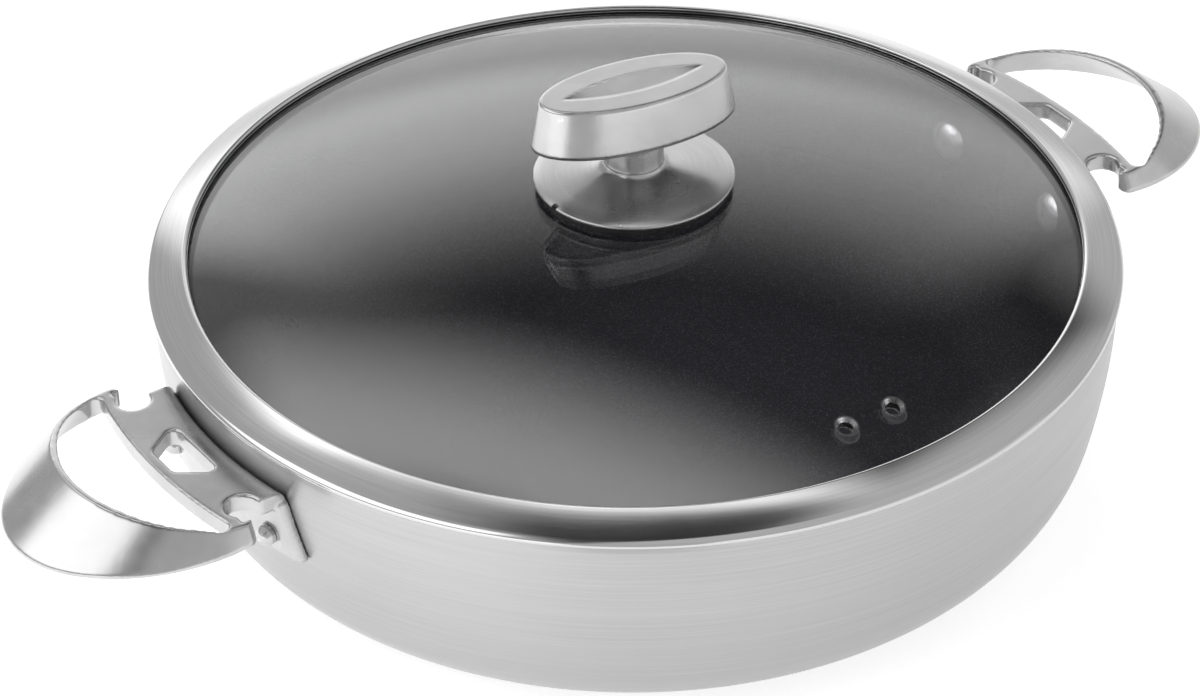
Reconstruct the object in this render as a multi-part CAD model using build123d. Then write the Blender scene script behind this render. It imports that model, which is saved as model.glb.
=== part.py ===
from build123d import *
from math import asin, cos, degrees, radians, sin, sqrt
import os

# Saute pan with two cast side handles and a domed glass lid.
# Millimetres, +Z up, origin at the middle of the base, handles along X.

# Pan body: three bonded sheets, a slightly curved wall and one large corner radius
pan_radius = 163.8
pan_depth = 82.0
wall_curve_radius = 233.0
corner_radius = 39.3
skin_thickness = 0.5
core_thickness = 2.0
liner_thickness = 0.5

# Handle flange, the curved plate that lies on the pan wall
flange_thickness = 4.3
flange_top_drop = 13.6
flange_height = 22.0
flange_top_half = 37.2
flange_bottom_half = 42.2
flange_chamfer = 1.1
handle_seat_gap = 0.1

# Handle web, the level plate between flange and finger hole
web_top_drop = 9.3
web_thickness = 6.4
web_edge_roll = 3.8
web_reach = 24.4
web_side_half = 36.4
web_shoulder = 5.4
scallop_radius = 5.7
scallop_reach = 11.6
scallop_half = 35.4
window_near_reach = 7.8
window_far_reach = 20.3
window_near_half = 15.6
window_far_half = 6.8
window_corner_radius = 2.6

# Handle grip, a band that stands upright at its two roots and leans outwards at its tip
hole_reach = 52.3
hole_tip_radius = 43.5
hole_tip_turn = 40.0
hole_side_length = 4.3438
hole_root_half = 43.7
hole_corner_radius = 3.0
grip_top_reach = 53.4
grip_top_tip_radius = 40.0
grip_top_tip_turn = 39.0
grip_top_root_half = 42.7
grip_bottom_reach = 78.0
grip_bottom_tip_radius = 42.0
grip_bottom_tip_turn = 34.0
grip_bottom_root_half = 50.8
grip_root_reach = 12.4
grip_crest_reach = 23.7
grip_crest_rise = 5.6
grip_tip_height = 18.5
grip_root_height = 7.1
grip_lip = 1.6
grip_lower_edge = 6.0
arm_inner_half = 41.6
arm_outer_half = 44.4
hollow_side_gap = 0.9
arm_end_round = 3.2
grip_bottom_round = 1.2

# Rivets, formed cold from the inside out
rivet_turn = 10.4
rivet_drop = 28.3
rivet_shank_radius = 2.9
rivet_hole_clearance = 0.1
rivet_head_radius = 7.2
rivet_head_height = 2.4
rivet_head_seat = 0.25
rivet_tail_radius = 3.6
rivet_tail_length = 4.4
rivet_spot_radius = 5.6
rivet_spot_depth = 0.5

# Lid rim, one folded steel ring with a skirt that drops into the pan
lid_seat_gap = 0.3
rim_overhang = 1.2
rim_sheet = 0.9
rim_edge_height = 2.7
rim_edge_round = 0.9
rim_bevel = 1.2
rim_lip_overlap = 4.2
rim_rise = 7.4
rim_curl_radius = 0.85
skirt_clearance = 1.4
skirt_depth = 6.5

# Seat ring under the glass, welded inside the skirt
seat_ring_sheet = 0.9
seat_ring_overlap = 5.6
seat_ring_leg = 3.4
weld_gap = 0.05

# Glass and its edge seal
glass_side_gap = 2.9
glass_thickness = 4.0
glass_edge_drop = 3.9
glass_rise = 27.2
glass_hole_radius = 5.6
seal_thickness = 0.9
seal_top_width = 4.3
seal_fit = 0.05
steam_hole_radius = 2.5
steam_hole_chamfer = 1.2
steam_hole_inset = 22.3
steam_hole_turn = 4.0
steam_hole_side = -90.0

# Knob on the middle of the glass
knob_turn = -9.5
knob_seal_radius = 32.9
knob_seal_height = 2.2
knob_seal_wall = 3.0
knob_disc_radius = 33.9
knob_disc_edge = 1.1
knob_disc_rise = 5.4
knob_disc_flat = 20.5
knob_disc_neck_radius = 10.9
knob_disc_edge_slope = 0.05
knob_notch_width = 2.4
knob_notch_depth = 1.6
knob_notch_turn = 184.0
stem_radius = 10.1
stem_length = 12.4
grip_long_half = 37.2
grip_wide_half = 17.4
grip_top_long_half = 33.4
grip_top_wide_half = 14.8
knob_grip_height = 17.6
knob_grip_top_round = 1.0
knob_grip_bottom_round = 1.6
spigot_radius = 5.0
spigot_length = 7.0
lens_half = 25.5
lens_wide_half = 5.4
lens_depth = 0.5
stem_fit = 0.05

# Screw that clamps the knob to the glass
screw_radius = 3.0
screw_engagement = 12.0
screw_head_radius = 5.4
screw_head_height = 3.0
screw_slot_width = 1.2
screw_slot_depth = 1.4
screw_clearance = 0.3
washer_radius = 9.0
washer_thickness = 1.2
bush_radius = 11.0
bush_thickness = 1.8
bush_sleeve_gap = 0.2

# One overrun serves all cuts
overrun = 1.0

layers = skin_thickness + core_thickness + liner_thickness
wall_turn = asin((pan_depth - corner_radius) / (wall_curve_radius - corner_radius))
wall_centre_x = pan_radius - wall_curve_radius
corner_centre_x = wall_centre_x + (wall_curve_radius - corner_radius) * cos(wall_turn)

web_top = pan_depth - web_top_drop
web_bottom = web_top - web_thickness
flange_top = pan_depth - flange_top_drop
flange_bottom = flange_top - flange_height
strut_radius = pan_radius + web_reach
hole_near_x = sqrt(strut_radius ** 2 - hole_root_half ** 2)
hole_root_x = hole_near_x + hole_side_length
crest_top = web_top + grip_crest_rise
grip_bottom = crest_top - grip_tip_height

rim_radius = pan_radius + rim_overhang
rim_bottom = pan_depth + lid_seat_gap
rim_top = rim_bottom + rim_rise
skirt_radius = pan_radius - layers - skirt_clearance
skirt_bottom = rim_bottom - skirt_depth

glass_radius = skirt_radius - rim_sheet - glass_side_gap
rim_inner_radius = glass_radius - rim_lip_overlap
seal_top_inner_radius = glass_radius - seal_top_width
seat_ring_inner_radius = glass_radius - seat_ring_overlap
steam_hole_ring_radius = glass_radius - steam_hole_inset
glass_edge_top = rim_top - glass_edge_drop
glass_sphere = (glass_radius ** 2 + glass_rise ** 2) / (2 * glass_rise)
glass_centre_z = glass_edge_top + glass_rise - glass_sphere


def sphere_height(radius, sphere):
    """Height over the lid's sphere centre at a distance from the axis."""
    return sqrt(sphere ** 2 - radius ** 2)


def glass_top(radius):
    return glass_centre_z + sphere_height(radius, glass_sphere)


def glass_bottom(radius):
    return glass_centre_z + sphere_height(radius, glass_sphere - glass_thickness)


def turned(edges):
    """Solid of revolution about Z from section edges drawn as (radius, height)."""
    return revolve(Plane.XZ * make_face(edges), Axis.Z)


def wall_edges(inset):
    """Outline of the pan from the rim to the axis, at a distance inside the outer face."""
    turn = degrees(wall_turn)
    wall = CenterArc((wall_centre_x, pan_depth), wall_curve_radius - inset, -turn, turn)
    corner = CenterArc((corner_centre_x, corner_radius), corner_radius - inset, -90, 90 - turn)
    base = Line((0, inset), (corner_centre_x, inset))
    return [wall, corner, base]


def pan_layer(outer_inset, inner_inset):
    """One sheet of the pan, with its four rivet holes."""
    top = Line((pan_radius - outer_inset, pan_depth), (pan_radius - inner_inset, pan_depth))
    axis = Line((0, outer_inset), (0, inner_inset))
    sheet = turned(wall_edges(outer_inset) + wall_edges(inner_inset) + [top, axis])
    for place in rivet_places():
        sheet -= place * rivet_hole()
    return sheet


def pan_envelope(outset):
    """Everything inside the pan's outer face, grown outwards."""
    top = Line((0, pan_depth), (pan_radius + outset, pan_depth))
    axis = Line((0, pan_depth), (0, -outset))
    return turned(wall_edges(-outset) + [top, axis])


def rivet_places():
    """Frames on the pan's outer face with local Z along each rivet, pointing outwards."""
    slope = asin(rivet_drop / wall_curve_radius)
    radius = wall_centre_x + wall_curve_radius * cos(slope)
    height = pan_depth - rivet_drop
    tilt = Rot(0, 90 + degrees(slope), 0)
    places = []
    for side in (0, 180):
        for turn in (rivet_turn, -rivet_turn):
            places.append(Rot(0, 0, side + turn) * Pos(radius, 0, height) * tilt)
    return places


def rivet_hole():
    length = 2 * (layers + flange_thickness + overrun)
    return Cylinder(rivet_shank_radius + rivet_hole_clearance, length)


def rivet():
    """Head inside the pan, shank through wall and flange, formed tail outside."""
    head_seat = -layers - rivet_head_seat
    tail_seat = handle_seat_gap + flange_thickness - rivet_spot_depth + rivet_hole_clearance
    tail_end = tail_seat + rivet_tail_length
    dome = ThreePointArc(
        (0, head_seat - rivet_head_height),
        (rivet_head_radius * cos(radians(45)), head_seat - rivet_head_height * sin(radians(45))),
        (rivet_head_radius, head_seat),
    )
    under = Line((rivet_head_radius, head_seat), (rivet_shank_radius, head_seat))
    shank = Line((rivet_shank_radius, head_seat), (rivet_shank_radius, tail_seat))
    shoulder = Line((rivet_shank_radius, tail_seat), (rivet_tail_radius, tail_seat))
    tail_dome_start = tail_end - rivet_tail_radius
    side = Line((rivet_tail_radius, tail_seat), (rivet_tail_radius, tail_dome_start))
    tip = CenterArc((0, tail_dome_start), rivet_tail_radius, 0, 90)
    axis = Line((0, tail_end), (0, head_seat - rivet_head_height))
    return turned([dome, under, shank, shoulder, side, tip, axis])


def d_edges(reach, tip_radius, tip_turn, root_x, root_half):
    """Open D outline: a tip arc about the handle's axis and a tangent arc to each root."""
    centre_x = pan_radius + reach - tip_radius
    tip = CenterArc((centre_x, 0), tip_radius, -tip_turn, 2 * tip_turn)
    turn = radians(tip_turn)
    arcs = [tip]
    for side in (1, -1):
        end = (centre_x + tip_radius * cos(turn), side * tip_radius * sin(turn))
        tangent = (-sin(turn), side * cos(turn))
        arcs.append(TangentArc(end, (root_x, side * root_half), tangent=tangent))
    return arcs


def d_face(reach, tip_radius, tip_turn, root_half):
    root_x = pan_radius + grip_root_reach
    root = Line((root_x, root_half), (root_x, -root_half))
    return make_face(d_edges(reach, tip_radius, tip_turn, root_x, root_half) + [root])


def hole_face():
    """Finger hole: D outline closed by an arc that follows the pan."""
    near_end = (hole_near_x, hole_root_half)
    strut = ThreePointArc(near_end, (strut_radius, 0), (hole_near_x, -hole_root_half))
    sides = []
    for side in (1, -1):
        half = side * hole_root_half
        sides.append(Line((hole_near_x, half), (hole_root_x, half)))
    outline = d_edges(hole_reach, hole_tip_radius, hole_tip_turn, hole_root_x, hole_root_half)
    face = make_face(outline + sides + [strut])
    corners = face.vertices().sort_by(Axis.X)[:2]
    return fillet(corners, hole_corner_radius)


def window_face():
    near_x = pan_radius + window_near_reach
    far_x = pan_radius + window_far_reach
    outline = Polyline(
        (near_x, -window_near_half),
        (far_x, -window_far_half),
        (far_x, window_far_half),
        (near_x, window_near_half),
        close=True,
    )
    face = make_face(outline)
    return fillet(face.vertices(), window_corner_radius)


def box_face(x_from, x_to, half):
    return Pos((x_from + x_to) / 2, 0) * Rectangle(x_to - x_from, 2 * half)


def scallops():
    """The two round bites between the grip's roots and the flange."""
    bite = Circle(scallop_radius)
    x = pan_radius + scallop_reach
    return Pos(x, scallop_half) * bite + Pos(x, -scallop_half) * bite


def grip_top_face():
    return d_face(grip_top_reach, grip_top_tip_radius, grip_top_tip_turn, grip_top_root_half)


def grip_bottom_face():
    return d_face(
        grip_bottom_reach,
        grip_bottom_tip_radius,
        grip_bottom_tip_turn,
        grip_bottom_root_half,
    )


def grip_side_view():
    """Side view of the band: level at the web, spreading up and down towards the tip."""
    root_x = pan_radius + grip_root_reach - overrun
    start_x = pan_radius + grip_crest_reach
    tip_x = pan_radius + grip_bottom_reach
    crest_slope = grip_crest_rise / (grip_top_reach - grip_crest_reach)
    outline = Polyline(
        (root_x, web_top - grip_root_height),
        (tip_x, grip_bottom),
        (tip_x, web_top + crest_slope * (tip_x - start_x)),
        (start_x, web_top),
        (root_x, web_top),
        close=True,
    )
    return extrude(Plane.XZ * make_face(outline), grip_bottom_root_half + overrun, both=True)


def through(face):
    """A prism of the face over the whole height of the handle."""
    return extrude(Pos(0, 0, grip_bottom - overrun) * face, crest_top - grip_bottom + 2 * overrun)


def handle_web():
    """Level plate with a rolled edge at the pan, cut to its plan outline."""
    inner = pan_radius - flange_thickness
    outer = pan_radius + hole_reach
    roll_x = pan_radius + web_edge_roll
    section = [
        Line((inner, web_bottom), (outer, web_bottom)),
        Line((outer, web_bottom), (outer, web_top)),
        Line((outer, web_top), (roll_x, web_top)),
        CenterArc((roll_x, web_top - web_edge_roll), web_edge_roll, 90, 90),
        Line((pan_radius, web_top - web_edge_roll), (inner, web_top - web_edge_roll)),
        Line((inner, web_top - web_edge_roll), (inner, web_bottom)),
    ]
    inside = pan_radius - corner_radius
    plan = box_face(inside, pan_radius + web_shoulder, web_side_half)
    plan += box_face(inside, pan_radius + web_reach + overrun, scallop_half)
    arm_x = pan_radius + grip_root_reach + arm_end_round
    plan += box_face(arm_x, hole_root_x, arm_outer_half)
    plan -= scallops()
    plan -= hole_face()
    plan -= window_face()
    return turned(section) & through(plan)


def handle_grip():
    """Band between two D outlines, open underneath and at the finger hole."""
    top = Pos(0, 0, crest_top + overrun) * grip_top_face()
    bottom = Pos(0, 0, grip_bottom) * grip_bottom_face()
    block = loft([bottom, top], ruled=True) & grip_side_view()
    root_x = pan_radius + grip_root_reach
    ends = block.edges().filter_by_position(Axis.X, root_x, root_x).sort_by(Axis.Y)
    block = fillet([ends[0], ends[-1]], arm_end_round)
    lower = block.faces().sort_by(Axis.Z)[0].edges().filter_by(GeomType.LINE, reverse=True)
    block = fillet(lower, grip_bottom_round)
    hollow_half = hole_root_half - hollow_side_gap
    hollow_top = d_face(hole_reach, hole_tip_radius, hole_tip_turn, hollow_half)
    hollow_top = Pos(0, 0, crest_top - grip_lip) * hollow_top
    hollow_bottom = Pos(0, 0, grip_bottom - overrun) * d_face(
        grip_bottom_reach - grip_lower_edge,
        grip_bottom_tip_radius,
        grip_bottom_tip_turn,
        hollow_half,
    )
    hollow = loft([hollow_bottom, hollow_top], ruled=True)
    under_web = box_face(pan_radius, hole_root_x, arm_inner_half)
    return block - through(hole_face()) - through(under_web) - through(scallops()) - hollow


def handle_flange():
    """Curved plate on the pan wall, a little wider at its foot, with two rivet holes."""
    outline = Polyline(
        (-flange_top_half, flange_top),
        (flange_top_half, flange_top),
        (flange_bottom_half, flange_bottom),
        (-flange_bottom_half, flange_bottom),
        close=True,
    )
    prism = extrude(Plane.YZ * make_face(outline), 2 * pan_radius)
    plate = pan_envelope(handle_seat_gap + flange_thickness) & prism
    plate -= pan_envelope(handle_seat_gap)
    front = plate.faces().sort_by(Axis.X)[-1]
    plate = chamfer(front.edges(), flange_chamfer)
    spot_floor = handle_seat_gap + flange_thickness - rivet_spot_depth
    spot = Pos(0, 0, spot_floor) * extrude(Circle(rivet_spot_radius), flange_thickness)
    for place in rivet_places()[:2]:
        plate -= place * spot
        plate -= place * rivet_hole()
    return plate


def handle():
    """One casting: flange, web and grip."""
    web = handle_web() - pan_envelope(handle_seat_gap)
    return handle_flange() + web + handle_grip()


def lid_rim():
    """Folded ring: inner lip, cone, rounded edge, seat on the pan rim, skirt inside it."""
    sheet = rim_sheet
    edge_top = rim_bottom + rim_edge_height
    cone_top = (rim_inner_radius + rim_curl_radius, rim_top)
    shoulder = (rim_radius - rim_bevel, edge_top)
    lip_bottom = glass_top(rim_inner_radius) + seal_thickness + 3 * seal_fit
    outline = Polyline(
        (rim_inner_radius, lip_bottom),
        (rim_inner_radius, rim_top),
        cone_top,
        shoulder,
        (rim_radius, edge_top - rim_bevel),
        (rim_radius, rim_bottom),
        (skirt_radius, rim_bottom),
        (skirt_radius, skirt_bottom),
        (skirt_radius - sheet, skirt_bottom),
        (skirt_radius - sheet, rim_bottom + sheet),
        (rim_radius - sheet, rim_bottom + sheet),
        (rim_radius - sheet, edge_top - rim_bevel),
        (shoulder[0] - sheet / 2, edge_top - sheet),
        (cone_top[0] + sheet / 2, rim_top - sheet),
        (rim_inner_radius + sheet, rim_top - sheet),
        (rim_inner_radius + sheet, lip_bottom),
        close=True,
    )
    face = make_face(outline)
    face = fillet(face.vertices().sort_by(Axis.Y)[-2:], rim_curl_radius / 3)
    rim_corner = face.vertices().sort_by_distance((rim_radius, rim_bottom))[0]
    face = fillet(rim_corner, rim_edge_round)
    bevel_corners = face.vertices().sort_by_distance((rim_radius, edge_top))[:2]
    face = fillet(bevel_corners, rim_edge_round)
    return revolve(Plane.XZ * face, Axis.Z)


def seal_outer_radius():
    return glass_radius + seal_fit + seal_thickness


def lid_seat_ring():
    """Ledge under the glass seal with a leg against the skirt."""
    top = glass_bottom(glass_radius) - seal_thickness - 2 * seal_fit
    leg_radius = skirt_radius - rim_sheet - weld_gap
    outline = Polyline(
        (seat_ring_inner_radius, top),
        (leg_radius, top),
        (leg_radius, top - seat_ring_leg),
        (leg_radius - seat_ring_sheet, top - seat_ring_leg),
        (leg_radius - seat_ring_sheet, top - seat_ring_sheet),
        (seat_ring_inner_radius, top - seat_ring_sheet),
        close=True,
    )
    return revolve(Plane.XZ * make_face(outline), Axis.Z)


def dome_arc(radius_from, radius_to, sphere):
    """Arc of a lid sphere in the section plane."""
    middle = (radius_from + radius_to) / 2
    points = []
    for radius in (radius_from, middle, radius_to):
        points.append((radius, glass_centre_z + sphere_height(radius, sphere)))
    return ThreePointArc(*points)


def lid_glass():
    """Domed disc with a hole for the knob and two steam holes."""
    top = dome_arc(glass_hole_radius, glass_radius, glass_sphere)
    bottom = dome_arc(glass_hole_radius, glass_radius, glass_sphere - glass_thickness)
    bore = Line(top @ 0, bottom @ 0)
    edge = Line(top @ 1, bottom @ 1)
    dome = turned([top, bottom, bore, edge])
    for side in (1, -1):
        turn = steam_hole_side + side * steam_hole_turn
        place = Rot(0, 0, turn) * Pos(steam_hole_ring_radius, 0, glass_top(steam_hole_ring_radius))
        lean = Rot(0, degrees(asin(steam_hole_ring_radius / glass_sphere)), 0)
        dome -= place * lean * Cylinder(steam_hole_radius, 3 * glass_thickness)
        mouth_radius = steam_hole_radius + steam_hole_chamfer
        mouth = Cone(steam_hole_radius, mouth_radius + overrun, steam_hole_chamfer + overrun)
        dome -= place * lean * Pos(0, 0, (overrun - steam_hole_chamfer) / 2) * mouth
    return dome


def lid_seal():
    """Channel strip that wraps the glass edge."""
    outer = seal_outer_radius()
    inner = glass_radius + seal_fit
    top_sphere = glass_sphere + seal_fit
    bottom_sphere = glass_sphere - glass_thickness - seal_fit
    leg = dome_arc(seal_top_inner_radius, inner, top_sphere)
    roof = dome_arc(seal_top_inner_radius, outer, top_sphere + seal_thickness)
    floor_top = dome_arc(seat_ring_inner_radius, inner, bottom_sphere)
    flat = glass_bottom(glass_radius) - seal_thickness - seal_fit
    edges = [
        roof,
        Line(roof @ 1, (outer, flat)),
        Line((outer, flat), (seat_ring_inner_radius, flat)),
        Line((seat_ring_inner_radius, flat), floor_top @ 0),
        floor_top,
        Line(floor_top @ 1, leg @ 1),
        leg,
        Line(leg @ 0, roof @ 0),
    ]
    return turned(edges)


def knob_seal_bottom():
    return glass_top(knob_seal_radius) + seal_fit


def disc_bottom():
    return knob_seal_bottom() + knob_seal_height


def stem_bottom():
    return disc_bottom() + knob_disc_edge + knob_disc_rise


def knob_grip_bottom():
    return stem_bottom() + stem_length


def knob_base_seal():
    """Soft ring between the disc and the glass, cut to the dome underneath."""
    under = dome_arc(knob_seal_radius - knob_seal_wall, knob_seal_radius, glass_sphere + seal_fit)
    top = disc_bottom()
    edges = [
        under,
        Line(under @ 1, (knob_seal_radius, top)),
        Line((knob_seal_radius, top), (knob_seal_radius - knob_seal_wall, top)),
        Line((knob_seal_radius - knob_seal_wall, top), under @ 0),
    ]
    return turned(edges)


def knob_base():
    """Flared disc: thin edge, shallow dish, neck up to the stem, notch in the edge."""
    low = disc_bottom()
    edge_top = low + knob_disc_edge
    high = stem_bottom()
    bore = screw_radius + screw_clearance
    flare = Spline(
        (knob_disc_radius, edge_top),
        (knob_disc_flat, edge_top + knob_disc_rise / 3),
        (knob_disc_neck_radius, high - knob_disc_rise / 4),
        (stem_radius, high),
        tangents=[(-1, knob_disc_edge_slope), (0, 1)],
    )
    edges = [
        flare,
        Line((stem_radius, high), (bore, high)),
        Line((bore, high), (bore, low)),
        Line((bore, low), (knob_disc_radius, low)),
        Line((knob_disc_radius, low), (knob_disc_radius, edge_top)),
    ]
    disc = turned(edges)
    notch = Pos(knob_disc_radius, 0, low) * Box(2 * knob_notch_depth, knob_notch_width, 3 * knob_disc_edge)
    return disc - Rot(0, 0, knob_notch_turn) * notch


def knob_stem():
    """Turned post with a spigot for the grip and a blind hole for the screw."""
    low = stem_bottom()
    post = Pos(0, 0, low) * extrude(Circle(stem_radius), stem_length)
    post += Pos(0, 0, low + stem_length) * extrude(Circle(spigot_radius), spigot_length)
    return post - Pos(0, 0, low) * extrude(Circle(screw_radius + stem_fit), screw_engagement + overrun)


def knob_grip():
    """Oval slab that flares downwards, with a bare lens-shaped recess on top."""
    low = knob_grip_bottom()
    top = low + knob_grip_height
    foot = Pos(0, 0, low) * Ellipse(grip_long_half, grip_wide_half)
    head = Pos(0, 0, top) * Ellipse(grip_top_long_half, grip_top_wide_half)
    slab = loft([foot, head])
    slab = fillet(slab.edges().group_by(Axis.Z)[-1], knob_grip_top_round)
    slab = fillet(slab.edges().group_by(Axis.Z)[0], knob_grip_bottom_round)
    lens = make_face([
        ThreePointArc((-lens_half, 0), (0, lens_wide_half), (lens_half, 0)),
        ThreePointArc((-lens_half, 0), (0, -lens_wide_half), (lens_half, 0)),
    ])
    slab -= Pos(0, 0, top - lens_depth) * extrude(lens, lens_depth + overrun)
    socket = Circle(spigot_radius + stem_fit)
    slab -= Pos(0, 0, low) * extrude(socket, spigot_length + stem_fit)
    return Rot(0, 0, knob_turn) * slab


def bush_bottom():
    return glass_bottom(bush_radius) - bush_thickness


def knob_inner_seal():
    """Soft bush: a flange under the glass and a sleeve in the glass hole."""
    sleeve = glass_hole_radius - bush_sleeve_gap
    bore = screw_radius + screw_clearance
    top = dome_arc(sleeve, bush_radius, glass_sphere - glass_thickness - seal_fit)
    low = bush_bottom()
    high = glass_top(glass_hole_radius)
    edges = [
        top,
        Line(top @ 1, (bush_radius, low)),
        Line((bush_radius, low), (bore, low)),
        Line((bore, low), (bore, high)),
        Line((bore, high), (sleeve, high)),
        Line((sleeve, high), top @ 0),
    ]
    return turned(edges)


def knob_washer():
    ring = Circle(washer_radius) - Circle(screw_radius + screw_clearance)
    return Pos(0, 0, bush_bottom() - stem_fit - washer_thickness) * extrude(ring, washer_thickness)


def knob_screw():
    """Pan-headed screw from below, slotted, into the stem."""
    seat = bush_bottom() - 2 * stem_fit - washer_thickness
    end = stem_bottom() + screw_engagement
    shank = Pos(0, 0, seat) * extrude(Circle(screw_radius), end - seat)
    head = Pos(0, 0, seat - screw_head_height) * extrude(Circle(screw_head_radius), screw_head_height)
    head = fillet(head.edges().group_by(Axis.Z)[0], screw_head_height / 3)
    slot_height = seat - screw_head_height
    slot = Pos(0, 0, slot_height) * Box(3 * screw_head_radius, screw_slot_width, 2 * screw_slot_depth)
    return shank + head - slot


def parts():
    """Every piece under its node name."""
    core_inset = skin_thickness
    liner_inset = core_inset + core_thickness
    pieces = {
        "pan_outer_skin": pan_layer(0, core_inset),
        "pan_core": pan_layer(core_inset, liner_inset),
        "pan_liner": pan_layer(liner_inset, layers),
    }
    casting = handle()
    pieces["handle_right"] = casting
    pieces["handle_left"] = Rot(0, 0, 180) * casting
    rivet_names = ["rivet_right_rear", "rivet_right_front", "rivet_left_front", "rivet_left_rear"]
    for name, place in zip(rivet_names, rivet_places()):
        pieces[name] = place * rivet()
    pieces["lid_rim"] = lid_rim()
    pieces["lid_seat_ring"] = lid_seat_ring()
    pieces["lid_glass"] = lid_glass()
    pieces["lid_seal"] = lid_seal()
    pieces["knob_base_seal"] = knob_base_seal()
    pieces["knob_base"] = knob_base()
    pieces["knob_stem"] = knob_stem()
    pieces["knob_grip"] = knob_grip()
    pieces["knob_inner_seal"] = knob_inner_seal()
    pieces["knob_washer"] = knob_washer()
    pieces["knob_screw"] = knob_screw()
    return pieces


os.makedirs("parts", exist_ok=True)
for name, piece in parts().items():
    export_step(piece, "parts/" + name + ".step")
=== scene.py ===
from math import asin, cos, degrees, pi, radians, sin, sqrt

import bmesh
import bpy
from mathutils import Matrix, Vector


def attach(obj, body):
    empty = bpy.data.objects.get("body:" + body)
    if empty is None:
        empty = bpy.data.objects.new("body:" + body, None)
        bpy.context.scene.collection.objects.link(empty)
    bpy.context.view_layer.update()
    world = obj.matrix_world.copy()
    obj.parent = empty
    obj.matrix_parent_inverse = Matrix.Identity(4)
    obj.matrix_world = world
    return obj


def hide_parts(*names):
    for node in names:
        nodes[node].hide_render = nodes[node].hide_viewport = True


# Saute pan with two cast handles and a domed glass lid.
# Lengths in the pieces' and looks' dictionaries are millimetres, as in the part's drawing.
# The studio's are metres.

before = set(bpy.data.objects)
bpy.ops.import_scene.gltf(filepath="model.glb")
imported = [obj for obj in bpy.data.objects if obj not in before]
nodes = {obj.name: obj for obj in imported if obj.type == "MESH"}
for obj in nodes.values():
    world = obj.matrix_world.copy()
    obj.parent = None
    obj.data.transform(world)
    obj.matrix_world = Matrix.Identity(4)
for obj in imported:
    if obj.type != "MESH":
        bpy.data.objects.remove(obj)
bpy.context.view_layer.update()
mm = 0.001
print("frame loaded:", len(nodes), "nodes")


# Node helpers

rising = (0.0, 1.0)
falling = (1.0, 0.0)


def plug(tree, socket, value):
    if isinstance(value, bpy.types.NodeSocket):
        tree.links.new(value, socket)
    else:
        socket.default_value = value


def addNode(tree, kind, settings=None, **inputs):
    made = tree.nodes.new("ShaderNode" + kind)
    for name, value in (settings or {}).items():
        setattr(made, name, value)
    for name, value in inputs.items():
        plug(tree, made.inputs[name.replace("_", " ")], value)
    return made


def doMath(tree, operation, *values):
    made = tree.nodes.new("ShaderNodeMath")
    made.operation = operation
    for socket, given in zip(made.inputs, values):
        plug(tree, socket, given)
    return made.outputs[0]


def product(tree, first, *others):
    for other in others:
        first = doMath(tree, "MULTIPLY", first, other)
    return first


def greatest(tree, first, *others):
    for other in others:
        first = doMath(tree, "MAXIMUM", first, other)
    return first


def mapRange(tree, value, span, ends=rising, smooth=False):
    made = tree.nodes.new("ShaderNodeMapRange")
    made.interpolation_type = "SMOOTHSTEP" if smooth else "LINEAR"
    for socket, given in zip(made.inputs, (value, *span, *ends)):
        plug(tree, socket, given)
    return made.outputs[0]


def fade(tree, value, span, ends=rising):
    return mapRange(tree, value, span, ends, True)


def mixColor(tree, factor, a, b):
    made = addNode(tree, "Mix", {"data_type": "RGBA"})
    plug(tree, made.inputs[0], factor)
    plug(tree, made.inputs[6], a)
    plug(tree, made.inputs[7], b)
    return made.outputs[2]


def grey(value, alpha=1.0):
    return (value, value, value, alpha)


def objectPlace(tree):
    return addNode(tree, "TexCoord").outputs["Object"]


def lengthOf(tree, vector):
    return addNode(tree, "VectorMath", {"operation": "LENGTH"}, Vector=vector).outputs["Value"]


def fromAxis(tree):
    # The place's coordinates, and its distance from the Z axis
    parts = addNode(tree, "SeparateXYZ", Vector=objectPlace(tree)).outputs
    flat = addNode(tree, "CombineXYZ", X=parts["X"], Y=parts["Y"])
    return parts, lengthOf(tree, flat.outputs[0])


def newGroup(name, inputs, outputs):
    group = bpy.data.node_groups.new(name, "ShaderNodeTree")
    for label, value in inputs.items():
        made = group.interface.new_socket(label, in_out="INPUT", socket_type="NodeSocketFloat")
        made.default_value = value
    for label in outputs:
        group.interface.new_socket(label, in_out="OUTPUT", socket_type="NodeSocketFloat")
    return group, group.nodes.new("NodeGroupInput"), group.nodes.new("NodeGroupOutput")


def useGroup(tree, group, **inputs):
    made = tree.nodes.new("ShaderNodeGroup")
    made.node_tree = group
    for name, value in inputs.items():
        plug(tree, made.inputs[name.replace("_", " ")], value)
    return made.outputs


# Shared effects

linePattern = {
    "nearAxis": 0.0001, "heightShare": 1.31, "roughness": 0.62,
    "outputs": (("Lines", 1.0, 4.0), ("Bands", 0.06, 2.0)),
}
grainPattern = {"roughness": 0.55, "outputs": (("Grain", 1.0, 1.0), ("Waves", 0.05, 2.0))}
cloudPattern = {"detail": 5.0, "roughness": 0.6, "distortion": 0.8, "span": (0.35, 0.7)}


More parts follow.
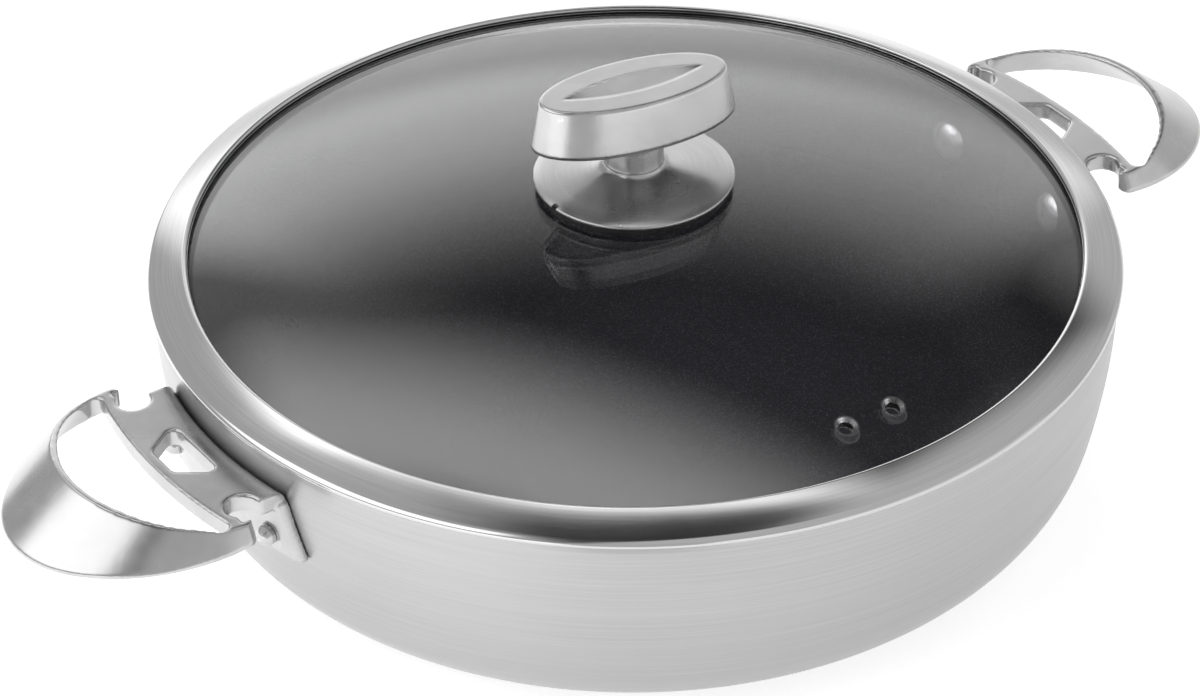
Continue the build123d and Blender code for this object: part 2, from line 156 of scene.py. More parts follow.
def makeTurnedLines(pattern):
    # Fine lines that run round the Z axis, as a belt or a lathe leaves them
    inputs = {"Lines Per Metre": 2500.0, "Length": 3.0}
    group, start, end = newGroup("turnedLines", inputs, ["Lines", "Bands"])
    parts, radius = fromAxis(group)
    safe = doMath(group, "MAXIMUM", radius, pattern["nearAxis"])
    turnX = doMath(group, "DIVIDE", parts["X"], safe)
    turnY = doMath(group, "DIVIDE", parts["Y"], safe)
    across = doMath(group, "MULTIPLY_ADD", parts["Z"], pattern["heightShare"], radius)
    along = start.outputs["Length"]
    for label, share, detail in pattern["outputs"]:
        fine = product(group, start.outputs["Lines Per Metre"], share)
        spot = addNode(
            group, "CombineXYZ", X=product(group, turnX, along), Y=product(group, turnY, along),
            Z=product(group, across, fine),
        )
        noise = addNode(
            group, "TexNoise", Vector=spot.outputs[0], Scale=1.0, Detail=detail,
            Roughness=pattern["roughness"],
        )
        plug(group, end.inputs[label], noise.outputs[0])
    return group


def makeCastGrain(pattern):
    # Blasted and tumbled casting: a fine pitted grain over slow waves
    group, start, end = newGroup("castGrain", {"Grains Per Metre": 1500.0}, ["Grain", "Waves"])
    place = objectPlace(group)
    for label, share, detail in pattern["outputs"]:
        fine = product(group, start.outputs["Grains Per Metre"], share)
        noise = addNode(
            group, "TexNoise", Vector=place, Scale=fine, Detail=detail, Roughness=pattern["roughness"]
        )
        plug(group, end.inputs[label], noise.outputs[0])
    return group


def makeRubbedEdges():
    # Where hands and cloths rub an edge bright
    group, start, end = newGroup("rubbedEdges", {"Start": 0.52, "Full": 0.6}, ["Edge"])
    bend = addNode(group, "NewGeometry").outputs["Pointiness"]
    span = (start.outputs["Start"], start.outputs["Full"])
    plug(group, end.inputs["Edge"], fade(group, bend, span))
    return group


def makeHandling(pattern):
    # Faint cloudy marks of wiping and fingers, for the roughness
    group, start, end = newGroup("handling", {"Marks Per Metre": 18.0}, ["Clouds"])
    noise = addNode(
        group, "TexNoise", Vector=objectPlace(group), Scale=start.outputs["Marks Per Metre"],
        Detail=pattern["detail"], Roughness=pattern["roughness"], Distortion=pattern["distortion"],
    )
    plug(group, end.inputs["Clouds"], fade(group, noise.outputs[0], pattern["span"]))
    return group


turnedLines = makeTurnedLines(linePattern)
castGrain = makeCastGrain(grainPattern)
rubbedEdges = makeRubbedEdges()
handling = makeHandling(cloudPattern)
print("shared effects made")


# Materials

# The part of a noise's range that its values mostly fill
noiseSpan = (0.3, 0.7)
# How the brushing turns the highlight, the same on every turned steel
brushTurn = 0.25


def newMaterial(name):
    material = bpy.data.materials.new(name)
    material.use_nodes = True
    tree = material.node_tree
    tree.nodes.clear()
    shader = tree.nodes.new("ShaderNodeBsdfPrincipled")
    output = tree.nodes.new("ShaderNodeOutputMaterial")
    tree.links.new(shader.outputs[0], output.inputs["Surface"])
    return material, tree, shader


def addBump(tree, shader, height, depth):
    bump = addNode(tree, "Bump", Height=height, Distance=depth * mm, Strength=1.0)
    plug(tree, shader.inputs["Normal"], bump.outputs[0])


def cloudsOf(tree, look):
    return useGroup(tree, handling, Marks_Per_Metre=look["marksPerMetre"])["Clouds"]


def grainOf(tree, look):
    return useGroup(tree, castGrain, Grains_Per_Metre=look["grainsPerMetre"])


def edgeOf(tree, look):
    return useGroup(tree, rubbedEdges, Start=look["edge"][0], Full=look["edge"][1])["Edge"]


def turnedSteel(name, look):
    # Steel brushed or turned round the object's axis
    material, tree, shader = newMaterial(name)
    lines = useGroup(tree, turnedLines, Lines_Per_Metre=look["linesPerMetre"], Length=look["length"])
    low, high = look["tone"]
    tone = mapRange(tree, lines["Lines"], noiseSpan)
    plug(tree, shader.inputs["Base Color"], mixColor(tree, tone, grey(low), grey(high)))
    base = mapRange(tree, lines["Bands"], noiseSpan, look["roughness"])
    rough = doMath(tree, "MULTIPLY_ADD", cloudsOf(tree, look), look["wipe"], base)
    plug(tree, shader.inputs["Roughness"], rough)
    addBump(tree, shader, lines["Lines"], look["depth"])
    shader.inputs["Metallic"].default_value = 1.0
    shader.inputs["Anisotropic"].default_value = look["anisotropic"]
    shader.inputs["Anisotropic Rotation"].default_value = brushTurn
    tangent = addNode(tree, "Tangent", {"direction_type": "RADIAL", "axis": "Z"})
    plug(tree, shader.inputs["Tangent"], tangent.outputs[0])
    return material


def castSteel(name, look):
    material, tree, shader = newMaterial(name)
    grain = grainOf(tree, look)
    edge = edgeOf(tree, look)
    low, high = look["tone"]
    cast = mixColor(tree, mapRange(tree, grain["Waves"], look["waveSpan"]), grey(low), grey(high))
    plug(tree, shader.inputs["Base Color"], mixColor(tree, edge, cast, grey(look["edgeTone"])))
    rough = mapRange(tree, grain["Waves"], noiseSpan, look["roughness"])
    wiped = doMath(tree, "MULTIPLY_ADD", cloudsOf(tree, look), look["wipe"], rough)
    rubbed = doMath(tree, "MULTIPLY_ADD", edge, -look["edgePolish"], wiped)
    plug(tree, shader.inputs["Roughness"], rubbed)
    addBump(tree, shader, grain["Grain"], look["depth"])
    shader.inputs["Metallic"].default_value = 1.0
    return material


def coatingColor(tree, look):
    # Dark ground with fine lighter flecks, and the grain that the flecks follow
    place = objectPlace(tree)
    cells = addNode(tree, "TexVoronoi", Vector=place, Scale=look["flecksPerMetre"], Randomness=1.0)
    fleck = fade(tree, cells.outputs["Distance"], (look["fleckSize"], 0.0))
    grainScale = look["flecksPerMetre"] * look["grainShare"]
    grain = addNode(tree, "TexNoise", Vector=place, Scale=grainScale, Detail=2.0).outputs[0]
    shown = product(tree, fleck, mapRange(tree, grain, look["grainSpan"]))
    return mixColor(tree, shown, look["ground"], look["fleck"]), grain


def panCoating(name, look):
    material, tree, shader = newMaterial(name)
    color, grain = coatingColor(tree, look)
    plug(tree, shader.inputs["Base Color"], color)
    rough = mapRange(tree, cloudsOf(tree, look), rising, look["roughness"])
    plug(tree, shader.inputs["Roughness"], rough)
    addBump(tree, shader, grain, look["depth"])
    shader.inputs["Specular IOR Level"].default_value = look["specular"]
    return material


def rivetSteel(name, look, coating):
    # Plain steel outside, and heads with a thin worn coating inside the pan
    material, tree, shader = newMaterial(name)
    wall = look["wall"]
    inside = mapRange(tree, fromAxis(tree)[1], (wall * mm, (wall - look["wallSoft"]) * mm))
    grain = grainOf(tree, look)
    steel = mixColor(tree, edgeOf(tree, look), grey(look["tone"]), grey(look["edgeTone"]))
    worn = mixColor(tree, look["shine"], coatingColor(tree, coating)[0], grey(look["headTone"]))
    plug(tree, shader.inputs["Base Color"], mixColor(tree, inside, steel, worn))
    plug(tree, shader.inputs["Metallic"], mapRange(tree, inside, rising, (1.0, look["shine"])))
    rough = mapRange(tree, grain["Waves"], noiseSpan, look["roughness"])
    plug(tree, shader.inputs["Roughness"], rough)
    addBump(tree, shader, grain["Grain"], look["depth"])
    return material


def groundAround(tree, look, place, x, y):
    # The matt ring that the drill and grinder leave at one steam hole
    away = addNode(tree, "VectorMath", {"operation": "SUBTRACT"})
    plug(tree, away.inputs[0], place)
    away.inputs[1].default_value = (x * mm, y * mm, 0)
    flat = addNode(tree, "VectorMath", {"operation": "MULTIPLY"})
    plug(tree, flat.inputs[0], away.outputs[0])
    flat.inputs[1].default_value = (1, 1, 0)
    far = lengthOf(tree, flat.outputs[0])
    edge = look["holeEdge"] * mm
    soft = look["edgeSoft"] * mm
    near = mapRange(tree, far, (edge + soft, edge - soft))
    inner = mapRange(tree, far, (edge - look["edgeWidth"] * mm, edge), (look["innerShare"], 1.0))
    return product(tree, near, inner)


def lidGlassMaterial(name, look):
    # Clear glass, ground matt where the steam holes are drilled
    material, tree, shader = newMaterial(name)
    place = objectPlace(tree)
    ground = greatest(tree, *[groundAround(tree, look, place, x, y) for x, y in look["holes"]])
    clear = product(tree, cloudsOf(tree, look), look["smear"])
    rough = doMath(tree, "MULTIPLY_ADD", ground, look["groundRoughness"], clear)
    plug(tree, shader.inputs["Roughness"], rough)
    plug(tree, shader.inputs["Base Color"], mixColor(tree, ground, look["tint"], look["groundTint"]))
    shader.inputs["Transmission Weight"].default_value = 1.0
    shader.inputs["IOR"].default_value = look["ior"]
    # Light passes through to the inside as it does through a real lid
    output = next(n for n in tree.nodes if n.type == "OUTPUT_MATERIAL")
    clearShade = addNode(tree, "BsdfTransparent", Color=look["shade"])
    mix = tree.nodes.new("ShaderNodeMixShader")
    plug(tree, mix.inputs[0], addNode(tree, "LightPath").outputs["Is Shadow Ray"])
    tree.links.new(shader.outputs[0], mix.inputs[1])
    tree.links.new(clearShade.outputs[0], mix.inputs[2])
    tree.links.new(mix.outputs[0], output.inputs["Surface"])
    return material


def rubber(name, look):
    material, tree, shader = newMaterial(name)
    clouds = cloudsOf(tree, look)
    low, high = look["tone"]
    plug(tree, shader.inputs["Base Color"], mixColor(tree, clouds, grey(low), grey(high)))
    plug(tree, shader.inputs["Roughness"], mapRange(tree, clouds, rising, look["roughness"]))
    addBump(tree, shader, grainOf(tree, look)["Grain"], look["depth"])
    return material


steelLooks = {
    "lidSteel": {
        "linesPerMetre": 4200.0, "length": 2.6, "marksPerMetre": 14.0, "tone": (0.54, 0.61),
        "roughness": (0.1, 0.13), "wipe": 0.02, "depth": 0.0005, "anisotropic": 0.4,
    },
    "panSteel": {
        "linesPerMetre": 2200.0, "length": 1.6, "marksPerMetre": 9.0, "tone": (0.43, 0.51),
        "roughness": (0.3, 0.36), "wipe": 0.03, "depth": 0.0015, "anisotropic": 0.7,
    },
    "knobSteel": {
        "linesPerMetre": 3600.0, "length": 1.5, "marksPerMetre": 40.0, "tone": (0.43, 0.48),
        "roughness": (0.24, 0.27), "wipe": 0.02, "depth": 0.0001, "anisotropic": 0.7,
    },
    "stemSteel": {
        "linesPerMetre": 3600.0, "length": 1.5, "marksPerMetre": 40.0, "tone": (0.6, 0.66),
        "roughness": (0.11, 0.14), "wipe": 0.02, "depth": 0.0001, "anisotropic": 0.5,
    },
    "screwSteel": {
        "linesPerMetre": 5000.0, "length": 1.0, "marksPerMetre": 60.0, "tone": (0.5, 0.56),
        "roughness": (0.3, 0.4), "wipe": 0.05, "depth": 0.003, "anisotropic": 0.4,
    },
    "panCore": {
        "linesPerMetre": 1500.0, "length": 1.6, "marksPerMetre": 20.0, "tone": (0.7, 0.78),
        "roughness": (0.4, 0.5), "wipe": 0.05, "depth": 0.006, "anisotropic": 0.3,
    },
}
castLooks = {
    "castSteel": {
        "grainsPerMetre": 1500.0, "marksPerMetre": 30.0, "waveSpan": (0.35, 0.65),
        "tone": (0.46, 0.51), "edge": (0.53, 0.62), "edgeTone": 0.58, "edgePolish": 0.08,
        "roughness": (0.2, 0.25), "wipe": 0.05, "depth": 0.005,
    },
    "knobCastSteel": {
        "grainsPerMetre": 1700.0, "marksPerMetre": 50.0, "waveSpan": (0.35, 0.65),
        "tone": (0.49, 0.54), "edge": (0.53, 0.62), "edgeTone": 0.7, "edgePolish": 0.06,
        "roughness": (0.2, 0.25), "wipe": 0.04, "depth": 0.004,
    },
}
coatingLook = {
    "ground": (0.013, 0.0115, 0.014, 1.0), "fleck": (0.12, 0.12, 0.14, 1.0),
    "flecksPerMetre": 2000.0, "fleckSize": 0.6, "grainShare": 0.6, "grainSpan": (0.38, 0.6),
    "marksPerMetre": 12.0, "roughness": (0.46, 0.54), "depth": 0.06, "specular": 0.3,
}
rivetLook = {
    "wall": 161.0, "wallSoft": 0.3, "grainsPerMetre": 2400.0, "tone": 0.5, "edge": (0.5, 0.58),
    "edgeTone": 0.66, "roughness": (0.2, 0.27), "depth": 0.004, "headTone": 0.8, "shine": 0.85,
}
rubberLook = {
    "grainsPerMetre": 1800.0, "marksPerMetre": 35.0, "tone": (0.012, 0.02),
    "roughness": (0.14, 0.24), "depth": 0.006,
}
steamHoles = {"ring": 133.3, "side": -90.0, "turn": 4.0}
holeSpots = []
for sign in (1, -1):
    angle = radians(steamHoles["side"] + sign * steamHoles["turn"])
    holeSpots.append((steamHoles["ring"] * cos(angle), steamHoles["ring"] * sin(angle)))
glassLook = {
    "tint": (0.952, 0.953, 0.968, 1.0), "groundTint": grey(0.8), "shade": grey(0.86), "ior": 1.5,
    "marksPerMetre": 7.0, "smear": 0.015, "groundRoughness": 0.5, "holes": holeSpots,
    "holeEdge": 4.0, "edgeSoft": 0.12, "edgeWidth": 0.6, "innerShare": 0.5,
}

materials = {name: turnedSteel(name, look) for name, look in steelLooks.items()}
for name, look in castLooks.items():
    materials[name] = castSteel(name, look)
materials["panCoating"] = panCoating("panCoating", coatingLook)
materials["rivetSteel"] = rivetSteel("rivetSteel", rivetLook, coatingLook)
materials["lidGlass"] = lidGlassMaterial("lidGlass", glassLook)
materials["sealRubber"] = rubber("sealRubber", rubberLook)
print("materials made:", len(materials))


# Mesh helpers

# Points and edges closer or shorter than these are merged
weldGaps = {"lathe": 0.005, "sliver": 0.002, "cad": 0.002}


def addObject(name, data):
    made = bpy.data.objects.new(name, data)
    bpy.context.scene.collection.objects.link(made)
    return made


def meshFrom(bm, name):
    mesh = bpy.data.meshes.new(name)
    bm.to_mesh(mesh)
    bm.free()
    return mesh


def shadeSmooth(mesh):
    mesh.polygons.foreach_set("use_smooth", [True] * len(mesh.polygons))


def penStart(x, z):
    bm = bmesh.new()
    vert = bmesh.ops.create_vert(bm, co=(x * mm, 0, z * mm))["vert"][0]
    return bm, vert


def penLine(bm, vert, x, z):
    # Draws a straight line of the section from the pen's last point
    made = bmesh.ops.extrude_vert_indiv(bm, verts=[vert])["verts"][0]
    bmesh.ops.translate(bm, verts=[made], vec=Vector((x * mm, 0, z * mm)) - made.co)
    return made


def penArc(bm, vert, centreX, centreZ, turn, steps):
    # Draws an arc of the section about a centre; a positive turn goes from +X towards -Z
    made = bmesh.ops.spin(
        bm, geom=[vert], cent=(centreX * mm, 0, centreZ * mm), axis=(0, 1, 0), dvec=(0, 0, 0),
        angle=turn, steps=steps, use_merge=False, use_normal_flip=False, use_duplicate=False,
    )
    return [v for v in made["geom_last"] if isinstance(v, bmesh.types.BMVert)][0]


def drawSection(start, path):
    # Draws a closed section from its first point through the others
    bm, first = penStart(*start)
    vert = first
    for x, z in path:
        vert = penLine(bm, vert, x, z)
    bm.edges.new((vert, first))
    return bm


def roundCorners(bm, spots, radius, segments):
    # Rounds the section's corners nearest to the given points
    picked = []
    for x, z in spots:
        there = Vector((x * mm, 0, z * mm))
        picked.append(min(bm.verts, key=lambda v: (v.co - there).length))
    bmesh.ops.bevel(
        bm, geom=picked, offset=radius * mm, offset_type="OFFSET", segments=segments, profile=0.5,
        affect="VERTICES", material=-1,
    )


def turnOnLathe(bm, steps):
    bmesh.ops.spin(
        bm, geom=bm.verts[:] + bm.edges[:], cent=(0, 0, 0), axis=(0, 0, 1), dvec=(0, 0, 0),
        angle=2 * pi, steps=steps, use_merge=True, use_normal_flip=False, use_duplicate=False,
    )
    bmesh.ops.remove_doubles(bm, verts=bm.verts, dist=weldGaps["lathe"] * mm)
    bmesh.ops.dissolve_degenerate(bm, dist=weldGaps["sliver"] * mm, edges=bm.edges)
    bmesh.ops.recalc_face_normals(bm, faces=bm.faces)


def finishPiece(bm, name, body, material, replaced, sharpAngle=30.0):
    piece = addObject(name, meshFrom(bm, name))
    shadeSmooth(piece.data)
    piece.data.set_sharp_from_angle(angle=radians(sharpAngle))
    piece.data.materials.append(materials[material])
    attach(piece, body)
    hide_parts(*replaced)
    return piece


def applyModifiers(piece):
    graph = bpy.context.evaluated_depsgraph_get()
    graph.update()
    done = bpy.data.meshes.new_from_object(piece.evaluated_get(graph))
    old = piece.data
    piece.modifiers.clear()
    piece.data = done
    bpy.data.meshes.remove(old)


def cadCopy(node):
    # The CAD node's triangles, merged into one closed skin
    bm = bmesh.new()
    bm.from_mesh(nodes[node].data)
    bmesh.ops.remove_doubles(bm, verts=bm.verts, dist=weldGaps["cad"] * mm)
    return bm


# Pan wall

wallSize = {
    "radius": 163.8, "depth": 82.0, "wallRadius": 233.0, "cornerRadius": 39.3, "thickness": 0.5,
    "lipRound": 0.18, "steps": 240, "wallSteps": 14, "cornerSteps": 18, "baseSteps": 6,
}


def drawWall(size, bm, vert, inset):
    # Outline from the rim down to the axis
    turn = asin((size["depth"] - size["cornerRadius"]) / (size["wallRadius"] - size["cornerRadius"]))
    wallX = size["radius"] - size["wallRadius"]
    cornerX = wallX + (size["wallRadius"] - size["cornerRadius"]) * cos(turn)
    vert = penArc(bm, vert, wallX, size["depth"], turn, size["wallSteps"])
    vert = penArc(bm, vert, cornerX, size["cornerRadius"], pi / 2 - turn, size["cornerSteps"])
    for step in range(size["baseSteps"] - 1, -1, -1):
        vert = penLine(bm, vert, cornerX * step / size["baseSteps"], inset)
    return vert


def makePanSkin(size):
    bm, vert = penStart(size["radius"], size["depth"])
    drawWall(size, bm, vert, 0)
    innerTop = penLine(bm, vert, size["radius"] - size["thickness"], size["depth"])
    drawWall(size, bm, innerTop, size["thickness"])
    roundCorners(bm, [(size["radius"], size["depth"])], size["lipRound"], 2)
    turnOnLathe(bm, size["steps"])
    return finishPiece(bm, "panSkin", "pan", "panSteel", ["pan_outer_skin"])


makePanSkin(wallSize)
print("pan wall made")


# Lid ring

ringSize = {
    "outer": 165.0, "inner": 151.4, "bottom": 82.3, "edgeTop": 85.0, "top": 89.7, "bevel": 1.2,
    "curl": 0.85, "sheet": 0.9, "skirtRadius": 158.5, "skirtBottom": 75.8, "lipBottom": 87.75,
    "edgeRound": 0.55, "rollWide": 1.1, "rollDeep": 0.7, "rollRound": 0.45, "bead": 0.25,
    "steps": 300,
}


def makeLidRing(size):
    # Pressed sheet: a cone with a small rolled lip inside, a bevelled edge and a skirt below
    sheet = size["sheet"]
    shoulder = size["outer"] - size["bevel"]
    bevelLow = size["edgeTop"] - size["bevel"]
    coneIn = size["inner"] + size["curl"]
    slope = (size["top"] - size["edgeTop"]) / (shoulder - coneIn)
    rollX = size["inner"] + size["rollWide"]
    rollLow = size["top"] - size["rollDeep"]
    beadTop = (size["inner"] - size["bead"], size["lipBottom"] + size["bead"])
    rollStart = (size["inner"], rollLow)
    rollEnd = (rollX, size["edgeTop"] + slope * (shoulder - rollX))
    edgeIn = (shoulder, size["edgeTop"])
    edgeOut = (size["outer"], bevelLow)
    edgeLow = (size["outer"], size["bottom"])
    path = [
        beadTop,
        (size["inner"], size["lipBottom"] + size["bead"]),
        rollStart,
        rollEnd,
        edgeIn,
        edgeOut,
        edgeLow,
        (size["skirtRadius"], size["bottom"]),
        (size["skirtRadius"], size["skirtBottom"]),
        (size["skirtRadius"] - sheet, size["skirtBottom"]),
        (size["skirtRadius"] - sheet, size["bottom"] + sheet),
        (size["outer"] - sheet, size["bottom"] + sheet),
        (size["outer"] - sheet, bevelLow),
        (shoulder - sheet / 2, size["edgeTop"] - sheet),
        (coneIn + sheet / 2, size["top"] - sheet - slope * sheet),
        (size["inner"] + sheet, rollLow - sheet / 2),
        (size["inner"] + sheet, size["lipBottom"]),
    ]
    bm = drawSection((size["inner"] - size["bead"], size["lipBottom"]), path)
    roundCorners(bm, [edgeIn, edgeOut], size["edgeRound"], 4)
    roundCorners(bm, [edgeLow], size["edgeRound"], 4)
    roundCorners(bm, [rollStart, rollEnd], size["rollRound"], 6)
    roundCorners(bm, [beadTop], size["bead"] / 2, 4)
    turnOnLathe(bm, size["steps"])
    return finishPiece(bm, "lidRing", "lid", "lidSteel", ["lid_rim"])


makeLidRing(ringSize)
print("lid ring made")


# Knob base and stem

# The cone's points are a radius and a share of its rise, and the four in the middle are rounded
knobSize = {
    "discRadius": 33.9, "discBottom": 114.07, "discEdge": 1.1, "discRise": 5.4, "bore": 3.3,
    "cone": (
        (30.6, 0.12), (26.0, 0.2), (20.5, 0.3333), (16.6, 0.44), (13.4, 0.575), (10.9, 0.75),
        (10.25, 0.9),
    ),
    "coneRound": 1.1, "edgeRound": 0.35, "endRound": 0.35, "steps": 180, "sharpAngle": 40.0,
    "notchWidth": 2.4, "notchDepth": 1.6, "notchHeight": 8.0, "notchMiddle": 1.0,
    "notchRound": 0.3, "notchTurn": 184.0,
    "stemRadius": 10.1, "stemLength": 12.4, "stemBore": 3.05, "stemSteps": 96,
    "spigotRadius": 5.0, "spigotLength": 7.0, "boreDepth": 13.0,
}


def makeNotchCutter(size):
    box = Vector((2 * size["notchDepth"], size["notchWidth"], size["notchHeight"]))
    middle = Vector((size["discRadius"], 0, size["discBottom"] + size["notchMiddle"]))
    turn = Matrix.Rotation(radians(size["notchTurn"]), 3, "Z")
    bm = bmesh.new()
    bmesh.ops.create_cube(bm, size=1.0)
    bmesh.ops.scale(bm, verts=bm.verts, vec=box * mm)
    bmesh.ops.bevel(
        bm, geom=bm.edges[:], offset=size["notchRound"] * mm, offset_type="OFFSET", segments=3,
        profile=0.5, affect="EDGES", material=-1,
    )
    bmesh.ops.translate(bm, verts=bm.verts, vec=middle * mm)
    bmesh.ops.rotate(bm, verts=bm.verts, cent=(0, 0, 0), matrix=turn)
    return addObject("notchCutter", meshFrom(bm, "notchCutter"))


def cutNotch(piece, size):
    # Small slot in the disc's edge that a hand tool turns the base with
    cutter = makeNotchCutter(size)
    mesh = cutter.data
    cut = piece.modifiers.new("notch", "BOOLEAN")
    cut.operation = "DIFFERENCE"
    cut.solver = "EXACT"
    cut.object = cutter
    applyModifiers(piece)
    bpy.data.objects.remove(cutter)
    bpy.data.meshes.remove(mesh)


def makeKnobBase(size):
    low = size["discBottom"]
    edgeTop = low + size["discEdge"]
    high = edgeTop + size["discRise"]
    disc = [(size["discRadius"], low), (size["discRadius"], edgeTop)]
    cone = [(radius, edgeTop + share * size["discRise"]) for radius, share in size["cone"]]
    neckTop = (size["stemRadius"], high)
    bm = drawSection((size["bore"], low), disc + cone + [neckTop, (size["bore"], high)])
    roundCorners(bm, cone[1:5], size["coneRound"], 4)
    roundCorners(bm, disc, size["edgeRound"], 3)
    roundCorners(bm, [neckTop], size["endRound"], 2)
    turnOnLathe(bm, size["steps"])
    piece = finishPiece(
        bm, "knobBase", "lid", "knobSteel", ["knob_base"], size["sharpAngle"]
    )
    cutNotch(piece, size)
    return piece


def makeKnobStem(size):
    low = size["discBottom"] + size["discEdge"] + size["discRise"]
    high = low + size["stemLength"]
    spigotTop = high + size["spigotLength"]
    boreTop = low + size["boreDepth"]
    outside = [(size["stemRadius"], low), (size["stemRadius"], high)]
    path = outside + [
        (size["spigotRadius"], high),
        (size["spigotRadius"], spigotTop),
        (0, spigotTop),
        (0, boreTop),
        (size["stemBore"], boreTop),
    ]
    bm = drawSection((size["stemBore"], low), path)
    roundCorners(bm, outside, size["endRound"], 2)
    turnOnLathe(bm, size["stemSteps"])
    return finishPiece(bm, "knobStem", "lid", "stemSteel", ["knob_stem"])


makeKnobBase(knobSize)
makeKnobStem(knobSize)
print("knob base and stem made")


# Castings: the CAD solids with softened edges, as tumbling leaves them

plateSize = {
    "half": 25.5, "wideHalf": 5.4, "depth": 0.5, "top": 150.57, "turn": -9.5, "margin": 0.2,
    "farShare": 0.08, "nearShare": 0.7,
}
castings = {
    "handleRight": {
        "node": "handle_right", "body": "pan", "material": "castSteel", "slot": "cast_steel",
        "voxel": 0.5, "passes": 5,
    },
    "handleLeft": {
        "node": "handle_left", "body": "pan", "material": "castSteel", "slot": "cast_steel",
        "voxel": 0.5, "passes": 5,
    },
    "knobGrip": {
        "node": "knob_grip", "body": "lid", "material": "knobCastSteel", "slot": "knob_cast_steel",
        "voxel": 0.38, "passes": 3, "plate": plateSize,
    },
}


def slopePlate(bm, size):
    # The bare lens-shaped field sinks towards its near edge, and is nearly level at its far edge
    back = Matrix.Rotation(-radians(size["turn"]), 3, "Z")
    radius = (size["half"] ** 2 + size["wideHalf"] ** 2) / (2 * size["wideHalf"])
    lowest = (size["top"] - size["depth"] - size["margin"]) * mm
    for vert in bm.verts:
        if vert.co.z < lowest:
            continue
        spot = back @ vert.co / mm
        if abs(spot.x) >= size["half"]:
            continue
        wide = sqrt(radius ** 2 - spot.x ** 2) - (radius - size["wideHalf"])
        if abs(spot.y) < wide:
            share = (wide - spot.y) / (2 * wide)
            share = size["farShare"] + (size["nearShare"] - size["farShare"]) * share
            vert.co.z = (size["top"] - (size["top"] - spot.z) * share) * mm


def makeCasting(name, size):
    bm = cadCopy(size["node"])
    piece = finishPiece(
        bm, name, size["body"], size["material"], [size["node"]], 180.0
    )
    remesh = piece.modifiers.new("recast", "REMESH")
    remesh.mode = "VOXEL"
    remesh.voxel_size = size["voxel"] * mm
    remesh.use_smooth_shade = True
    applyModifiers(piece)
    bm = bmesh.new()
    bm.from_mesh(piece.data)
    if "plate" in size:
        slopePlate(bm, size["plate"])
    for _ in range(size["passes"]):
        bmesh.ops.smooth_vert(
            bm, verts=bm.verts, factor=0.5, use_axis_x=True, use_axis_y=True, use_axis_z=True
        )
    bm.to_mesh(piece.data)
    bm.free()
    shadeSmooth(piece.data)
    if not piece.data.materials:
        piece.data.materials.append(materials[size["material"]])
    print(name, "triangles", 2 * len(piece.data.polygons))
    return piece


for name, size in castings.items():
    makeCasting(name, size)
print("castings made")


# CAD nodes that keep their shape

nodeFinishes = {
    "pan_core": "panCore",
    "pan_liner": "panCoating",
    "rivet_right_rear": "rivetSteel",
    "rivet_right_front": "rivetSteel",
    "rivet_left_front": "rivetSteel",
    "rivet_left_rear": "rivetSteel",
    "lid_seat_ring": "lidSteel",
    "lid_glass": "lidGlass",
    "lid_seal": "sealRubber",
    "knob_base_seal": "sealRubber",
    "knob_inner_seal": "sealRubber",
    "knob_washer": "screwSteel",
    "knob_screw": "screwSteel",
}
for name, finish in nodeFinishes.items():
    for holder in nodes[name].material_slots:
        holder.material = materials[finish]
print("CAD nodes finished:", len(nodeFinishes))


# Studio: pale floor, one soft lamp, and a light tent with soft bright and dark zones.
# X runs to the right of the photograph's view, Y away from it, Z up.
# Spans without a unit are parts of the tent's radius along an axis; left and right of the back,
# and each card's around, are degrees from straight behind or straight in front.

studio = {
    "turn": 34.0,
    "floor": {
        "wide": 1.5, "front": -0.42, "back": 2.0, "color": 0.8, "roughness": 0.9,
        "shownGlow": 0.6, "mirrorGlow": (0.84, 0.36), "glowSpan": (-0.35, 0.45),
    },
    "back": {
        "level": 1.55, "slope": -1.0, "least": 1.25, "most": 2.0, "top": (0.37, 0.79),
        "low": (0.08, 0.24), "lowShare": 0.56, "left": (-33.0, -23.0), "right": (21.0, 32.0),
    },
    "fill": {
        "middle": 0.04, "left": 0.55, "leftSpan": (-0.12, -0.38), "right": 0.66,
        "rightSpan": (0.12, 0.25), "rightSkew": -0.5, "front": 0.07, "frontSpan": (0.1, -0.15),
    },
    "overhead": {
        "level": 2.8, "skew": 0.55, "span": (0.24, 0.57), "start": (0.13, 0.23),
        "cut": (0.21, 0.265), "high": (0.42, 0.6), "left": (-0.52, -0.4),
    },
    # Each card's around and height are its low end, its high end and its soft edge
    "cards": [
        {"around": (-112.0, -32.0, 7.0), "height": (0.45, 0.8, 0.05), "level": 2.3},
        {"around": (-150.0, -30.0, 10.0), "height": (-0.2, 0.42, 0.06), "level": 0.45},
        {"around": (36.0, 105.0, 8.0), "height": (0.05, 0.5, 0.08), "level": 0.95},
        {"around": (-110.0, -14.0, 5.0), "height": (-0.8, 0.08, 0.04), "level": 1.95},
        {"around": (14.0, 105.0, 5.0), "height": (-0.8, 0.08, 0.04), "level": 1.45},
        {"around": (100.0, 160.0, 10.0), "height": (-0.2, 0.5, 0.1), "level": 0.65},
    ],
    "lamp": {"place": (0.15, 0.75, 2.1), "aim": (0, 0, 0.06), "size": (1.5, 1.2), "power": 10.0},
}


